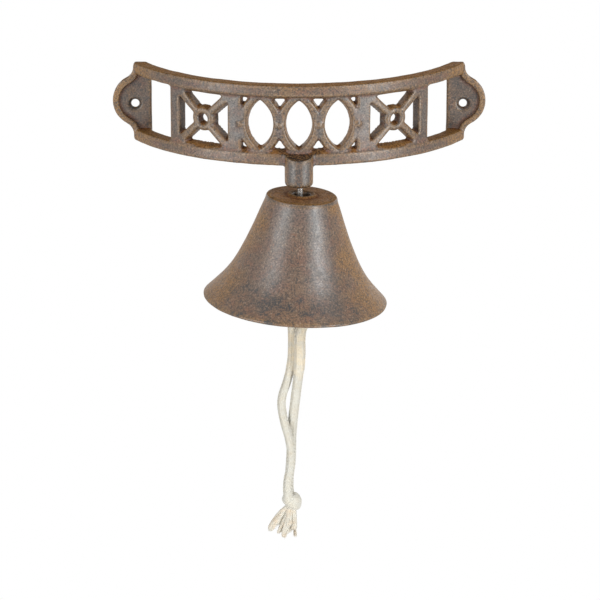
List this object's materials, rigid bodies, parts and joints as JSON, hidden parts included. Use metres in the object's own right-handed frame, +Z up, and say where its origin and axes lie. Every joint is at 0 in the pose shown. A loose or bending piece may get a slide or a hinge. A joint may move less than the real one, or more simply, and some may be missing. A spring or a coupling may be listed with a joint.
{
  "type": "wall-mounted cast iron door bell",
  "caption": "Hanging bell under a bowed openwork wall bracket, rung by a doubled rope that pulls on its inner clapper.",
  "frame": {"origin": "midway between the two screw holes, on the wall plane that the ears' backs rest on", "axes": "+X to the right along the row of screw holes, +Z up, the bell and the bow stand out towards -Y"},
  "size_m": [0.2304, 0.1198, 0.2913],
  "materials": {
    "bracket": "rusty sand-cast",
    "bell": "rusty sand-cast",
    "clapper": "rusty sand-cast",
    "eye_screw": "bright wire",
    "seat_washer": "dull plate",
    "s_hook": "bright wire",
    "rope_left": "braided cotton",
    "rope_right": "braided cotton",
    "rope_knot": "braided cotton, frayed"
  },
  "bodies": {
    "wall_bracket": {"bracket": "bracket", "eye_screw": "eye_screw"},
    "washer": {"seat_washer": "seat_washer"},
    "bell": {"bell": "bell"},
    "hook": {"s_hook": "s_hook"},
    "clapper": {"clapper": "clapper"},
    "rope": {"rope_left": "rope_left", "rope_right": "rope_right", "rope_knot": "rope_knot"}
  },
  "joints": [
    {"name": "bell_rock", "type": "hinge", "parent": "wall_bracket", "child": "washer", "pos_m": [0.0006, -0.0636, -0.04788], "axis": [0, 1, 0], "range_deg": [-20, 13]},
    {"name": "bell_turn", "type": "hinge", "parent": "washer", "child": "bell", "pos_m": [0.0017, -0.0636, -0.04139], "axis": [0.0628, 0, 0.998], "continuous": true},
    {"name": "hook_swing", "type": "hinge", "parent": "wall_bracket", "child": "hook", "pos_m": [0.0006, -0.0636, -0.05788], "axis": [0, 1, 0], "range_deg": [-28, 28]},
    {"name": "clapper_swing", "type": "hinge", "parent": "hook", "child": "clapper", "pos_m": [0.0006, -0.0636, -0.07185], "axis": [1, 0, 0], "range_deg": [-24, 24]},
    {"name": "rope_swing", "type": "hinge", "parent": "clapper", "child": "rope", "pos_m": [0.0006, -0.0636, -0.11315], "axis": [1, 0, 0], "range_deg": [-50, 20]}
  ]
}
